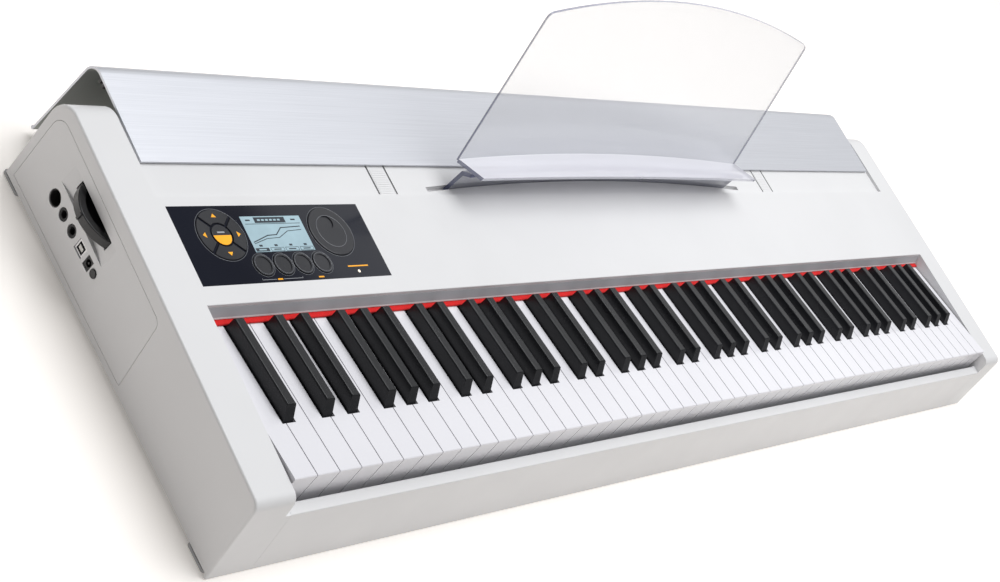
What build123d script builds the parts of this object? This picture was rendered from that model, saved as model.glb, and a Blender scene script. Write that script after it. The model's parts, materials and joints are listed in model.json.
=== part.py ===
from build123d import *
import os
from math import asin, cos, degrees, radians, sin, tan

# Digital stage piano with 88 keys, a control panel, a sliding rear cover and a clear music stand.
# Millimetres. Z is up, the player sits at -Y, and the origin is the bottom centre of the whole object.
# Case coordinates: x from the middle of the case, y back from its front, z up from the floor.

os.makedirs("parts", exist_ok=True)

# ---------------------------------------------------------------- driving dimensions
PITCH = 23.5                    # spacing of the white keys
WHITE_KEYS = 52
KEY_GAP = 1.0                   # air between two white keys
KEY_TILT = 4.4                  # keys rise towards the player at rest
KEY_FRONT_Y = 25.3              # front edge of the white keys, behind the case front
KEY_FRONT_Z = 86.6              # top of the white keys at that edge
PANEL_TILT = 3.02               # the top of the case rises towards the back
PANEL_Z = 81.28                 # height of the top plane above the case front
CASE_HALF = 651.5               # half the case width
OPENING_HALF = 612.0            # half the width between the cheeks
RAIL_HALF = 605.8               # half the length of the front rail
CASE_DEPTH = 371.2              # cheeks, front to back
DEPTH = 414.0                   # whole depth, with the rear cover slid back
FACE_LEAN = 0.147               # the front face leans back this much per mm of height
FOOT_H = 3.0
TRAY_T = 1.5
WALL = 3.0                      # moulded walls of the case
SKIRT_Z = 1.0                   # lower edge of the front face
PIVOT = (207.0, -9.0)           # key hinge: behind the key front, below the key top
PIVOT_R = 1.5
RUN_CLEARANCE = 0.05            # radial clearance of a turning fit
BUTTON_CLEARANCE = 0.3
WHEEL_R = 35.0                  # volume wheel
WHEEL_X, WHEEL_Y = -628.0, 277.8
WHEEL_NUB = 1.2
STAND_X = -14.0                 # middle of the music stand
STAND_T = 4.0                   # thickness of the music stand's foot
PLATE_T, LEDGE_T = 2.2, 3.6     # thickness of its plate and of its ledge
BOW_R = 3000.0                  # the music stand is bowed back in plan
STAND_SLOT_Y = 295.0            # slot of the music stand, at its middle, along the top plane

# ---------------------------------------------------------------- datum planes
CASE_X = (WHEEL_NUB + WHEEL_R - WHEEL_X - CASE_HALF) / 2
FRONT = -DEPTH / 2
SLOPE = tan(radians(PANEL_TILT))
SIDE = Plane(origin=(CASE_X, FRONT, 0), x_dir=(0, 1, 0), z_dir=(1, 0, 0))
FLOOR = Plane(origin=(CASE_X, FRONT, 0))
TOP = Plane(
    origin=(CASE_X, FRONT, PANEL_Z),
    x_dir=(1, 0, 0),
    z_dir=(0, -sin(radians(PANEL_TILT)), cos(radians(PANEL_TILT))),
)
KEYS = Plane(
    origin=(CASE_X, FRONT + KEY_FRONT_Y, KEY_FRONT_Z),
    x_dir=(1, 0, 0),
    z_dir=(0, sin(radians(KEY_TILT)), cos(radians(KEY_TILT))),
)
KEY_SIDE = Plane(origin=KEYS.origin, x_dir=KEYS.y_dir, z_dir=(1, 0, 0))


def finish(piece, name):
    """Label a piece and write its file."""
    piece.part.label = name
    export_step(piece.part, f"parts/{name}.step")


def under_top(y, depth=0.0):
    """Point of a side view, the given depth under the top plane."""
    return (y, PANEL_Z + SLOPE * y - depth)


def ribbon(path, thickness):
    """Outline of a strip centred on an open path, with mitred corners."""
    points = [Vector(*p) for p in path]
    left, right = [], []
    for i, point in enumerate(points):
        ahead = (points[min(i + 1, len(points) - 1)] - points[min(i, len(points) - 2)]).normalized()
        behind = (points[max(i, 1)] - points[max(i - 1, 0)]).normalized()
        middle = (ahead + behind).normalized()
        normal = Vector(-middle.Y, middle.X)
        reach = thickness / 2 / normal.dot(Vector(-ahead.Y, ahead.X))
        left.append(point + normal * reach)
        right.append(point - normal * reach)
    return [(p.X, p.Y) for p in left + right[::-1]]


def side_slab(points, x_low, x_high, plane=SIDE):
    """Extrude a side-view polygon from x_low to x_high in the active part."""
    with BuildSketch(plane.offset(x_low)) as profile:
        Polygon(*points, align=None)
    extrude(profile.sketch, amount=x_high - x_low)


def block(plane, x, y, low, high, mode=Mode.ADD):
    """Rectangular block over the ranges x and y of a plane, from height low to high."""
    with BuildSketch(plane.offset(low)) as profile:
        with Locations(((x[0] + x[1]) / 2, (y[0] + y[1]) / 2)):
            Rectangle(x[1] - x[0], y[1] - y[0])
    extrude(profile.sketch, amount=high - low, mode=mode)


def disc(plane, x, y, radius, low, high, mode=Mode.ADD):
    """Round block centred on (x, y) of a plane, from height low to high."""
    with BuildSketch(plane.offset(low)) as profile:
        with Locations((x, y)):
            Circle(radius)
    extrude(profile.sketch, amount=high - low, mode=mode)


def bowed(path, thickness, half_length, mode=Mode.ADD):
    """Revolve a strip, drawn as a side view over the top plane, along the bow of the music stand."""
    hub = TOP.from_local_coords((STAND_X, STAND_SLOT_Y - BOW_R, 0))
    swing = asin(half_length / BOW_R)
    start = Plane(
        origin=hub,
        x_dir=TOP.x_dir * sin(swing) + TOP.y_dir * cos(swing),
        z_dir=TOP.x_dir * cos(swing) - TOP.y_dir * sin(swing),
    )
    with BuildSketch(start) as profile:
        Polygon(*[(y + BOW_R - STAND_SLOT_Y, z) for y, z in ribbon(path, thickness)], align=None)
    revolve(profile.sketch, axis=Axis(hub, TOP.z_dir), revolution_arc=degrees(2 * swing), mode=mode)


# ---------------------------------------------------------------- case: cheeks
FACE_TOP = (FACE_LEAN * (82.0 - SKIRT_Z), under_top(12.0)[1])
PLATE = [(161.5, 10.3), (171.4, under_top(171.4, 12.6)[1]), under_top(362, 12.6), (362, 10.3)]
PORT_PLATE_T = 6.0
PLATE_SEAM = 0.4
RAIL_SECTION = [(0, SKIRT_Z), (9.06, 62.6), (19, 63.8), (19, 60.8), (12.1, 59.9), (3.05, SKIRT_Z)]
BOSS_YS = (70.0, 190.0, 310.0)
BOSS_X = 644.0


def plate_outline(shrink):
    """Side view of the plate let into a cheek, with its rounded upper corners."""
    with BuildSketch(mode=Mode.PRIVATE) as outline:
        Polygon(*PLATE, align=None)
        fillet(outline.vertices().sort_by(Axis.Y)[-1], radius=14)
        fillet(outline.vertices().group_by(Axis.X)[0].sort_by(Axis.Y)[-1:], radius=1.5)
        fillet(outline.vertices().filter_by(lambda v: abs(v.X - PLATE[1][0]) < 0.01), radius=8)
        if shrink:
            offset(amount=-shrink)
    return outline.sketch


def cheek(hand):
    """One moulded cheek of the case, hand -1 for the left and 1 for the right."""
    outer, inner = hand * CASE_HALF, hand * OPENING_HALF
    with BuildPart() as shell:
        with BuildSketch(SIDE.offset(outer)) as outline:
            Polygon(
                (0, SKIRT_Z),
                FACE_TOP,
                under_top(CASE_DEPTH),
                (CASE_DEPTH, FOOT_H + TRAY_T),
                (3.6, FOOT_H + TRAY_T),
                (3.1, SKIRT_Z),
                align=None,
            )
            fillet(outline.vertices().sort_by(Axis.Y)[-1], radius=22)
            fillet(outline.vertices().sort_by(Axis.Y).filter_by(lambda v: 10 < v.X < 14), radius=9)
        extrude(amount=-hand * (CASE_HALF - OPENING_HALF))
        rim = shell.faces().filter_by(Axis.X).sort_by(Axis.X)[0 if hand < 0 else -1].edges()
        fillet(rim.filter_by(lambda e: e.center().Z > 20), radius=2.0)
        with BuildSketch(SIDE.offset(inner + hand * WALL)) as hollow:
            Polygon(
                (7.5, 2),
                (FACE_TOP[0] + 6, FACE_TOP[1] - 4),
                under_top(CASE_DEPTH - WALL, 3.2),
                (CASE_DEPTH - WALL, 2),
                align=None,
            )
            fillet(hollow.vertices().sort_by(Axis.Y)[-1], radius=19)
        extrude(amount=hand * (CASE_HALF - OPENING_HALF - 2 * WALL), mode=Mode.SUBTRACT)
        with BuildSketch(SIDE.offset(outer)):
            add(plate_outline(0))
        extrude(amount=-hand * WALL, mode=Mode.SUBTRACT)
        lip_ends = sorted((inner, hand * (RAIL_HALF + 0.2)))
        side_slab(RAIL_SECTION, *lip_ends)
        for y in BOSS_YS:
            disc(FLOOR, hand * BOSS_X, y, 4.6, FOOT_H + TRAY_T, 10.0)
            disc(FLOOR, hand * BOSS_X, y, 2.1, FOOT_H + TRAY_T, 10.0, Mode.SUBTRACT)
        with BuildSketch(KEY_SIDE.offset(inner)):
            with Locations(PIVOT):
                Circle(PIVOT_R + RUN_CLEARANCE)
        extrude(amount=hand * WALL, mode=Mode.SUBTRACT)
        if hand < 0:
            disc(TOP, WHEEL_X, WHEEL_Y, WHEEL_R + 1.5, -35.6, -23.8, Mode.SUBTRACT)
    return shell


left_side_panel = cheek(-1)
finish(left_side_panel, "left_side_panel")
right_side_panel = cheek(1)
finish(right_side_panel, "right_side_panel")

# ---------------------------------------------------------------- case: plates in the cheeks
PORT_Z = 39.8
MIDI_Y, JACK_YS, USB_Y, DC_Y, POWER_Y = 316.3, (300.4, 284.5), 268.1, 254.0, 244.2
MIDI_R, JACK_R, POWER_R = 7.5, 5.75, 4.1
USB_SIZE, DC_SIZE = (12.2, 11.2), (8.8, 11.2)
SLOT_LOW, SLOT_HIGH = -34.8, -24.6
SCOOP_R, SCOOP_DEPTH = 197.0, 4.0

with BuildPart() as left_port_plate:
    with BuildSketch(SIDE.offset(-CASE_HALF)):
        add(plate_outline(PLATE_SEAM))
    extrude(amount=PORT_PLATE_T)
    with BuildSketch(SIDE.offset(-CASE_HALF)):
        with Locations((MIDI_Y, PORT_Z)):
            Circle(MIDI_R)
        with Locations(*[(y, PORT_Z) for y in JACK_YS]):
            Circle(JACK_R)
        with Locations((USB_Y, PORT_Z)):
            Rectangle(*USB_SIZE)
        with Locations((DC_Y, PORT_Z)):
            Rectangle(*DC_SIZE)
        with Locations((POWER_Y, PORT_Z)):
            Circle(POWER_R)
    extrude(amount=PORT_PLATE_T, mode=Mode.SUBTRACT)
    block(TOP, (-CASE_HALF - 1, -CASE_HALF + PORT_PLATE_T + 1), (WHEEL_Y - 28, WHEEL_Y + 28),
          SLOT_LOW, SLOT_HIGH, Mode.SUBTRACT)
    disc(TOP, WHEEL_X, WHEEL_Y, WHEEL_R + 0.8, SLOT_LOW, SLOT_HIGH, Mode.SUBTRACT)
    disc(TOP, SCOOP_DEPTH - SCOOP_R - CASE_HALF, WHEEL_Y + 2, SCOOP_R, -43.6, -22.5, Mode.SUBTRACT)
finish(left_port_plate, "left_port_plate")

with BuildPart() as right_side_plate:
    with BuildSketch(SIDE.offset(CASE_HALF)):
        add(plate_outline(PLATE_SEAM))
    extrude(amount=-WALL)
finish(right_side_plate, "right_side_plate")

# ---------------------------------------------------------------- case: tray, feet and screws
RIB_XS = (-560.0, -280.0, 0.0, 280.0, 560.0)
FEET = [(x, y) for x in (-639.0, 639.0) for y in (18.0, 361.0)]
SCREWS = [(hand * BOSS_X, y) for hand in (-1, 1) for y in BOSS_YS]

with BuildPart() as base_tray:
    block(FLOOR, (-648.0, 648.0), (4.2, 369.0), FOOT_H, FOOT_H + TRAY_T)
    for x in RIB_XS:
        side_slab([(37, 4), (242, 4), (242, 31.7), (37, 47.4)], x - 1, x + 1)
    with BuildSketch(FLOOR.offset(FOOT_H)):
        with Locations(*SCREWS):
            Circle(2.2)
    extrude(amount=TRAY_T, mode=Mode.SUBTRACT)
finish(base_tray, "base_tray")

with BuildPart() as rubber_feet:
    with BuildSketch(FLOOR):
        with Locations(*FEET):
            RectangleRounded(24, 26, 3)
    extrude(amount=FOOT_H)
    chamfer(rubber_feet.faces().filter_by(Axis.Z).group_by(Axis.Z)[0].edges(), length=0.6)
finish(rubber_feet, "rubber_feet")

with BuildPart() as base_screws:
    with BuildSketch(FLOOR.offset(1.2)):
        with Locations(*SCREWS):
            Circle(3.8)
            RegularPolygon(radius=1.5, side_count=6, mode=Mode.SUBTRACT)
    extrude(amount=1.0)
    with BuildSketch(FLOOR.offset(2.2)):
        with Locations(*SCREWS):
            Circle(3.8)
    extrude(amount=0.8)
    with BuildSketch(FLOOR.offset(3.0)):
        with Locations(*SCREWS):
            Circle(2.0)
    extrude(amount=6.5)
finish(base_screws, "base_screws")

# ---------------------------------------------------------------- case: front, top and back
with BuildPart() as front_rail:
    side_slab(RAIL_SECTION, -RAIL_HALF, RAIL_HALF)
    lip = front_rail.edges().filter_by(Axis.X)
    fillet(lip.filter_by(lambda e: e.center().Z > 62.0), radius=1.0)
finish(front_rail, "front_rail")

RECESS_Y, RECESS_DEPTH, PANEL_BACK = 274.0, 3.4, 350.0
PANEL_HALF = OPENING_HALF
FASCIA_X, FASCIA_Y, FASCIA_W, FASCIA_D = -501.7, 228.9, 211.0, 72.8
FASCIA_T = 2.0
GUIDE_XS = (-342.5, 325.5)
GUIDE_SPREAD = 11.6
STAND_SLOT_HALF = 274.0

with BuildPart() as top_panel:
    side_slab(
        [
            under_top(175.8),
            under_top(RECESS_Y),
            under_top(RECESS_Y + 0.8, RECESS_DEPTH),
            under_top(PANEL_BACK, RECESS_DEPTH),
            under_top(PANEL_BACK, RECESS_DEPTH + WALL),
            under_top(RECESS_Y - 3, RECESS_DEPTH + WALL),
            under_top(RECESS_Y - 4, WALL),
            under_top(175.4, WALL),
        ],
        -PANEL_HALF,
        PANEL_HALF,
    )
    nose = top_panel.edges().filter_by(Axis.X)
    fillet(nose.sort_by(Axis.Y)[:2].sort_by(Axis.Z)[-1:], radius=0.8)
    fascia_x = (FASCIA_X - FASCIA_W / 2, FASCIA_X + FASCIA_W / 2)
    fascia_y = (FASCIA_Y - FASCIA_D / 2, FASCIA_Y + FASCIA_D / 2)
    block(TOP, fascia_x, fascia_y, -FASCIA_T, 1, Mode.SUBTRACT)
    block(TOP, (fascia_x[0] + 7, fascia_x[1] - 7), (fascia_y[0] + 2.5, fascia_y[1] - 2.5), -8, 0, Mode.SUBTRACT)
    for x in GUIDE_XS:
        for side in (-1, 1):
            middle = x + side * GUIDE_SPREAD
            block(TOP, (middle - 1.1, middle + 1.1), (277.5, 334), -10, 0, Mode.SUBTRACT)
    bowed([(STAND_SLOT_Y, -11.5), (STAND_SLOT_Y, -RECESS_DEPTH - 1)], STAND_T + 5.0, STAND_SLOT_HALF + 2)
    bowed([(STAND_SLOT_Y, -9.5), (STAND_SLOT_Y, 0)], STAND_T + 1.0, STAND_SLOT_HALF, Mode.SUBTRACT)
finish(top_panel, "top_panel")

with BuildPart() as fallboard_strip:
    side_slab([(175.1, 87.3), (171.3, 79.8), (173.6, 79.8), (178.2, 87.3)], -611.8, 611.8)
finish(fallboard_strip, "fallboard_strip")

with BuildPart() as fallboard_trim:
    side_slab([(171.2, 79.7), (170.4, 77.9), (179.0, 77.9), (178.4, 79.7)], -611.8, 611.8)
    fillet(fallboard_trim.edges().filter_by(Axis.X).sort_by(Axis.Y)[:2], radius=0.4)
finish(fallboard_trim, "fallboard_trim")

with BuildPart() as key_felt:
    block(KEYS, (-611.6, 611.6), (141.0, 152.0), 0.4, 2.2)
    fillet(key_felt.edges().filter_by(Axis.X).sort_by(Axis.Y)[:2].sort_by(Axis.Z)[-1:], radius=0.9)
finish(key_felt, "key_felt")

with BuildPart() as rear_panel:
    back = [
        (338, FOOT_H + TRAY_T + 1),
        (349, FOOT_H + TRAY_T + 1),
        under_top(349, RECESS_DEPTH + WALL + 1.1),
        under_top(338, RECESS_DEPTH + WALL + 1.1),
    ]
    side_slab(ribbon(back, 2.0), -PANEL_HALF, PANEL_HALF)
finish(rear_panel, "rear_panel")

# ---------------------------------------------------------------- control panel
PAD_X, PAD_Y = -564.6, 237.8
PAD_OUT, PAD_IN, PAD_MIDDLE, PAD_SPOKE = 23.4, 11.0, 9.4, 1.6
DIAL_X, DIAL_Y, DIAL_R = -443.1, 237.8, 23.4
LCD_X, LCD_Y, LCD_W, LCD_D = -503.8, 237.8, 66.4, 34.2
SOFT_XS, SOFT_Y, SOFT_R = (-536.0, -514.2, -492.3, -470.5), 208.6, 10.0
LED_X, LED_Y, LED_R = -432.8, 198.5, 1.4
BOARD_TOP = -12.0
STEM_END = -8.6

SEGMENTS = {"nav_up_button": 0, "nav_left_button": 90, "nav_down_button": 180, "nav_right_button": 270}


def pad_plane(angle):
    """Plane of the arrow buttons, turned about their middle."""
    turn = radians(angle)
    return Plane(
        origin=TOP.from_local_coords((PAD_X, PAD_Y, 0)),
        x_dir=TOP.x_dir * cos(turn) + TOP.y_dir * sin(turn),
        z_dir=TOP.z_dir,
    )


def segment(angle, grow, low, high, mode=Mode.ADD):
    """One quarter of the ring of arrow buttons, grown by a clearance."""
    tip = PAD_SPOKE - grow * 1.41
    with BuildSketch(pad_plane(angle).offset(low)) as profile:
        Circle(PAD_OUT + grow)
        Circle(PAD_IN - grow, mode=Mode.SUBTRACT)
        Polygon((0, tip), (60, 60 + tip), (-60, 60 + tip), align=None, mode=Mode.INTERSECT)
    extrude(profile.sketch, amount=high - low, mode=mode)


with BuildPart() as fascia:
    inset = 0.1
    block(TOP, (fascia_x[0] + inset, fascia_x[1] - inset), (fascia_y[0] + inset, fascia_y[1] - inset),
          -FASCIA_T, 0.1)
    for angle in SEGMENTS.values():
        segment(angle, BUTTON_CLEARANCE, -FASCIA_T, 0.1, Mode.SUBTRACT)
    disc(TOP, PAD_X, PAD_Y, PAD_MIDDLE + BUTTON_CLEARANCE, -FASCIA_T, 0.1, Mode.SUBTRACT)
    disc(TOP, DIAL_X, DIAL_Y, DIAL_R + BUTTON_CLEARANCE, -FASCIA_T, 0.1, Mode.SUBTRACT)
    for x in SOFT_XS:
        disc(TOP, x, SOFT_Y, SOFT_R + BUTTON_CLEARANCE, -FASCIA_T, 0.1, Mode.SUBTRACT)
    disc(TOP, LED_X, LED_Y, LED_R + 0.05, -FASCIA_T, 0.1, Mode.SUBTRACT)
    block(TOP, (LCD_X - LCD_W / 2, LCD_X + LCD_W / 2), (LCD_Y - LCD_D / 2, LCD_Y + LCD_D / 2),
          -FASCIA_T, 0.1, Mode.SUBTRACT)
finish(fascia, "fascia")

with BuildPart() as lcd_display:
    block(TOP, (LCD_X - 33.0, LCD_X + 33.0), (LCD_Y - 16.9, LCD_Y + 16.9), -4.0, 0.0)
    block(TOP, (LCD_X - 34.5, LCD_X + 34.5), (LCD_Y - 18.5, LCD_Y + 18.5), -7.0, -4.0)
finish(lcd_display, "lcd_display")

with BuildPart() as power_led:
    disc(TOP, LED_X, LED_Y, LED_R, -4.0, 0.3)
    disc(TOP, LED_X, LED_Y, LED_R + 0.8, BOARD_TOP, -4.0)
finish(power_led, "power_led")

for name, angle in SEGMENTS.items():
    with BuildPart() as nav_button:
        segment(angle, 0, -4.0, 0.9)
        crown = nav_button.faces().filter_by(lambda f: f.normal_at().dot(TOP.z_dir) > 0.99)
        chamfer(crown.edges(), length=0.3)
        disc(pad_plane(angle), 0, 17, 2.0, STEM_END, -4.0)
    finish(nav_button, name)

with BuildPart() as center_button:
    disc(TOP, PAD_X, PAD_Y, PAD_MIDDLE, -4.0, 0.8)
    fillet(center_button.faces().sort_by(Axis.Z)[-1].edges(), radius=0.4)
    disc(TOP, PAD_X, PAD_Y, 2.0, STEM_END, -4.0)
finish(center_button, "center_button")

for number, x in enumerate(SOFT_XS, start=1):
    with BuildPart() as soft_button:
        disc(TOP, x, SOFT_Y, SOFT_R, -4.0, 1.0)
        disc(TOP, x, SOFT_Y, SOFT_R - 2.4, 0.4, 1.0, Mode.SUBTRACT)
        disc(TOP, x, SOFT_Y, 2.0, STEM_END, -4.0)
    finish(soft_button, f"soft_button_{number}")

with BuildPart() as dial:
    disc(TOP, DIAL_X, DIAL_Y, DIAL_R, -3.4, 1.2)
    fillet(dial.faces().sort_by(Axis.Z)[-1].edges(), radius=0.8)
    disc(TOP, DIAL_X, DIAL_Y + 9.0, 6.5, 0.3, 1.2, Mode.SUBTRACT)
    disc(TOP, DIAL_X, DIAL_Y, 3.0, -10.5, -3.4)
finish(dial, "dial")

with BuildPart() as dial_encoder:
    block(TOP, (DIAL_X - 7, DIAL_X + 7), (DIAL_Y - 7, DIAL_Y + 7), BOARD_TOP, -5.0)
    disc(TOP, DIAL_X, DIAL_Y, 3.0 + RUN_CLEARANCE, -11.0, -5.0, Mode.SUBTRACT)
finish(dial_encoder, "dial_encoder")

with BuildPart() as panel_board:
    block(TOP, (fascia_x[0] + 8, fascia_x[1] - 8), (fascia_y[0] + 5, fascia_y[1] - 5), BOARD_TOP - 1.6, BOARD_TOP)
    for angle in SEGMENTS.values():
        block(pad_plane(angle), (-3, 3), (14, 20), BOARD_TOP, -10.2)
    for x in SOFT_XS:
        block(TOP, (x - 3, x + 3), (SOFT_Y - 3, SOFT_Y + 3), BOARD_TOP, -10.2)
    block(TOP, (PAD_X - 3, PAD_X + 3), (PAD_Y - 3, PAD_Y + 3), BOARD_TOP, -10.2)
finish(panel_board, "panel_board")

# ---------------------------------------------------------------- sockets, switch and volume wheel
SOCKET_X = -CASE_HALF + 0.8
BODY_X = -CASE_HALF + PORT_PLATE_T
SOCKETS = SIDE.offset(SOCKET_X)


def socket_box(y_half, z_half, start, end):
    """Body of a socket behind the plate, centred on the active location."""
    with BuildSketch(SIDE.offset(start)) as profile:
        with Locations((y_half[0], PORT_Z)):
            Rectangle(2 * y_half[1], 2 * z_half)
    extrude(profile.sketch, amount=end - start)


with BuildPart() as midi_socket:
    with BuildSketch(SOCKETS):
        with Locations((MIDI_Y, PORT_Z)):
            Circle(MIDI_R - 0.1)
    extrude(amount=BODY_X - SOCKET_X)
    socket_box((MIDI_Y, 7.8), 8.0, BODY_X, BODY_X + 9)
    with BuildSketch(SOCKETS):
        with Locations((MIDI_Y, PORT_Z)):
            Circle(6.5)
    extrude(amount=8.5, mode=Mode.SUBTRACT)
    with BuildSketch(SIDE.offset(SOCKET_X + 8.5)):
        with Locations((MIDI_Y, PORT_Z)):
            with PolarLocations(4.4, 5, start_angle=0, angular_range=180, endpoint=True):
                Circle(0.8)
    extrude(amount=4, mode=Mode.SUBTRACT)
finish(midi_socket, "midi_socket")

JACK_BORE, JACK_LENGTH = 3.25, 24.0
with BuildPart() as jack_sockets:
    with BuildSketch(SOCKETS):
        with Locations(*[(y, PORT_Z) for y in JACK_YS]):
            Circle(JACK_R - 0.15)
    extrude(amount=BODY_X - SOCKET_X)
    for y in JACK_YS:
        socket_box((y, 6.9), 7.0, BODY_X, SOCKET_X + JACK_LENGTH + 2)
    with BuildSketch(SOCKETS):
        with Locations(*[(y, PORT_Z) for y in JACK_YS]):
            Circle(JACK_BORE)
    extrude(amount=JACK_LENGTH, mode=Mode.SUBTRACT)
finish(jack_sockets, "jack_sockets")

with BuildPart() as usb_socket:
    with BuildSketch(SOCKETS):
        with Locations((USB_Y, PORT_Z)):
            Rectangle(USB_SIZE[0] - 0.2, USB_SIZE[1] - 0.2)
    extrude(amount=16)
    with BuildSketch(SOCKETS) as mouth:
        with Locations((USB_Y, PORT_Z)):
            Rectangle(8.6, 7.9)
            Rectangle(5.6, 3.4, mode=Mode.SUBTRACT)
    extrude(amount=9, mode=Mode.SUBTRACT)
finish(usb_socket, "usb_socket")

with BuildPart() as dc_inlet:
    with BuildSketch(SOCKETS):
        with Locations((DC_Y, PORT_Z)):
            Rectangle(DC_SIZE[0] - 0.2, DC_SIZE[1] - 0.2)
    extrude(amount=14)
    with BuildSketch(SOCKETS):
        with Locations((DC_Y, PORT_Z)):
            Circle(3.2)
            Circle(1.0, mode=Mode.SUBTRACT)
    extrude(amount=10, mode=Mode.SUBTRACT)
finish(dc_inlet, "dc_inlet")

with BuildPart() as power_button:
    with BuildSketch(SIDE.offset(-CASE_HALF - 1.0)):
        with Locations((POWER_Y, PORT_Z)):
            Circle(POWER_R - BUTTON_CLEARANCE)
    extrude(amount=9)
    fillet(power_button.faces().sort_by(Axis.X)[0].edges(), radius=0.6)
finish(power_button, "power_button")

with BuildPart() as port_board:
    block(FLOOR, (-645.0, -615.5), (234.0, 330.0), 30.0, 31.6)
    block(FLOOR, (-641.0, -631.0), (239.5, 248.5), 31.6, 45.0)
finish(port_board, "port_board")

with BuildPart() as volume_wheel:
    disc(TOP, WHEEL_X, WHEEL_Y, WHEEL_R, -34.0, -25.4)
    disc(TOP, WHEEL_X, WHEEL_Y, WHEEL_R - 6, -30.4, -25.4, Mode.SUBTRACT)
    fillet(volume_wheel.edges().filter_by(GeomType.CIRCLE).filter_by(lambda e: e.radius > 34), radius=1.0)
    block(TOP, (WHEEL_X - WHEEL_R - WHEEL_NUB, WHEEL_X - WHEEL_R + 1), (WHEEL_Y - 1.1, WHEEL_Y + 1.1),
          -33.0, -26.4)
    disc(TOP, WHEEL_X, WHEEL_Y, 3.0, -34.0, -25.4, Mode.SUBTRACT)
finish(volume_wheel, "volume_wheel")

with BuildPart() as wheel_shaft:
    disc(TOP, WHEEL_X, WHEEL_Y, 3.0, -44.0, -28.4)
finish(wheel_shaft, "wheel_shaft")

with BuildPart() as volume_pot:
    block(TOP, (WHEEL_X - 8, WHEEL_X + 8), (WHEEL_Y - 8, WHEEL_Y + 8), -45.0, -38.0)
    disc(TOP, WHEEL_X, WHEEL_Y, 5.0, -38.0, -34.6)
    disc(TOP, WHEEL_X, WHEEL_Y, 3.0 + RUN_CLEARANCE, -44.2, -34.6, Mode.SUBTRACT)
finish(volume_pot, "volume_pot")

with BuildPart() as wheel_bracket:
    block(TOP, (-640.0, -616.0), (266.0, 290.0), -46.4, -45.0)
    upright = [(264.8, 31.7), (288.6, 31.7), (288.6, 50.2), (264.8, 49.0)]
    side_slab(upright, -617.4, -616.0)
finish(wheel_bracket, "wheel_bracket")

with BuildPart() as main_board:
    block(FLOOR, (-520.0, -300.0), (262.0, 334.0), 12.0, 13.6)
    with BuildSketch(FLOOR.offset(FOOT_H + TRAY_T)):
        with Locations(*[(x, y) for x in (-512.0, -308.0) for y in (268.0, 328.0)]):
            Circle(3.0)
    extrude(amount=12.0 - FOOT_H - TRAY_T)
    for x, size in ((-470.0, 24.0), (-420.0, 14.0), (-365.0, 18.0)):
        block(FLOOR, (x, x + size), (290.0, 290.0 + size), 13.6, 16.0)
finish(main_board, "main_board")

# ---------------------------------------------------------------- keys
OCTAVE = 7 * PITCH
WHITE_INSET = KEY_GAP / 2
BLACK_SLOT = 13.0               # width that a black key takes between the tails of the white keys
BLACK_W, BLACK_TOP_W = 11.0, 9.2
BLACK_FRONT, BLACK_BACK = 49.0, 139.6
BLACK_H, BLACK_RAKE = 12.1, 7.6
HEAD, CAP_END, TAIL_END = 47.8, 150.0, 214.0
KEY_BODY, APRON = 15.0, 33.0
TAIL_DROP = 2.5
FIRST_C = 2 * PITCH             # left edge of the first C: the keyboard starts at A

# Whole-step groups: the keys from C to E and from F to B share their width equally between the tails.
GROUPS = (("c", 3), ("f", 4))
WHITE_NAMES = ("c", "d", "e", "f", "g", "a", "b")
tails, blacks = {}, {}
for first, count in GROUPS:
    start = WHITE_NAMES.index(first)
    tail = (count * PITCH - (count - 1) * BLACK_SLOT) / count
    for i in range(count):
        left = i * (tail + BLACK_SLOT) - i * PITCH
        tails[WHITE_NAMES[start + i]] = (max(left, 0), min(left + tail, PITCH))
        if i < count - 1:
            blacks[WHITE_NAMES[start + i] + "_sharp"] = (start * PITCH) + (i + 1) * tail + (i + 0.5) * BLACK_SLOT

KEYS_HALF = WHITE_KEYS * PITCH / 2
pivot_plane = Plane(origin=KEY_SIDE.from_local_coords((*PIVOT, 0)), x_dir=(0, 1, 0), z_dir=(1, 0, 0))


def drill_pivot():
    """Hole for the hinge rod through every key of the active part."""
    with BuildSketch(pivot_plane.offset(-KEYS_HALF)) as profile:
        Circle(PIVOT_R + RUN_CLEARANCE)
    extrude(profile.sketch, amount=2 * KEYS_HALF, mode=Mode.SUBTRACT)


def white_key(left, tail):
    """One white key whose slot starts at left; tail is the part that runs back between the black keys."""
    low, high = left + WHITE_INSET, left + PITCH - WHITE_INSET
    tail_low, tail_high = left + tail[0] + WHITE_INSET, left + tail[1] - WHITE_INSET
    with BuildSketch(KEYS) as profile:
        Polygon(
            (low, 0), (high, 0), (high, HEAD), (tail_high, HEAD),
            (tail_high, CAP_END), (tail_low, CAP_END), (tail_low, HEAD), (low, HEAD),
            align=None,
        )
    extrude(profile.sketch, amount=-KEY_BODY)
    block(KEYS, (low, high), (0, 4), -APRON, -KEY_BODY)
    block(KEYS, (tail_low, tail_high), (CAP_END, TAIL_END), -KEY_BODY, -TAIL_DROP)


for name in WHITE_NAMES:
    step = WHITE_NAMES.index(name)
    indices = [i for i in range(WHITE_KEYS) if (i - 2) % 7 == step]
    with BuildPart() as white:
        for i in indices:
            tail = tails[name]
            if i == 0:
                tail = (0, tail[1])
            if i == WHITE_KEYS - 1:
                tail = (0, PITCH)
            white_key(i * PITCH - KEYS_HALF, tail)
        brow = KEYS.from_local_coords((0, 0, 0))
        fillet(white.edges().filter_by(Axis.X).filter_by(
            lambda e: abs(e.center().Y - brow.Y) < 0.05 and abs(e.center().Z - brow.Z) < 0.05), radius=1.1)
        drill_pivot()
    finish(white, f"key_{name}")

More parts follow.
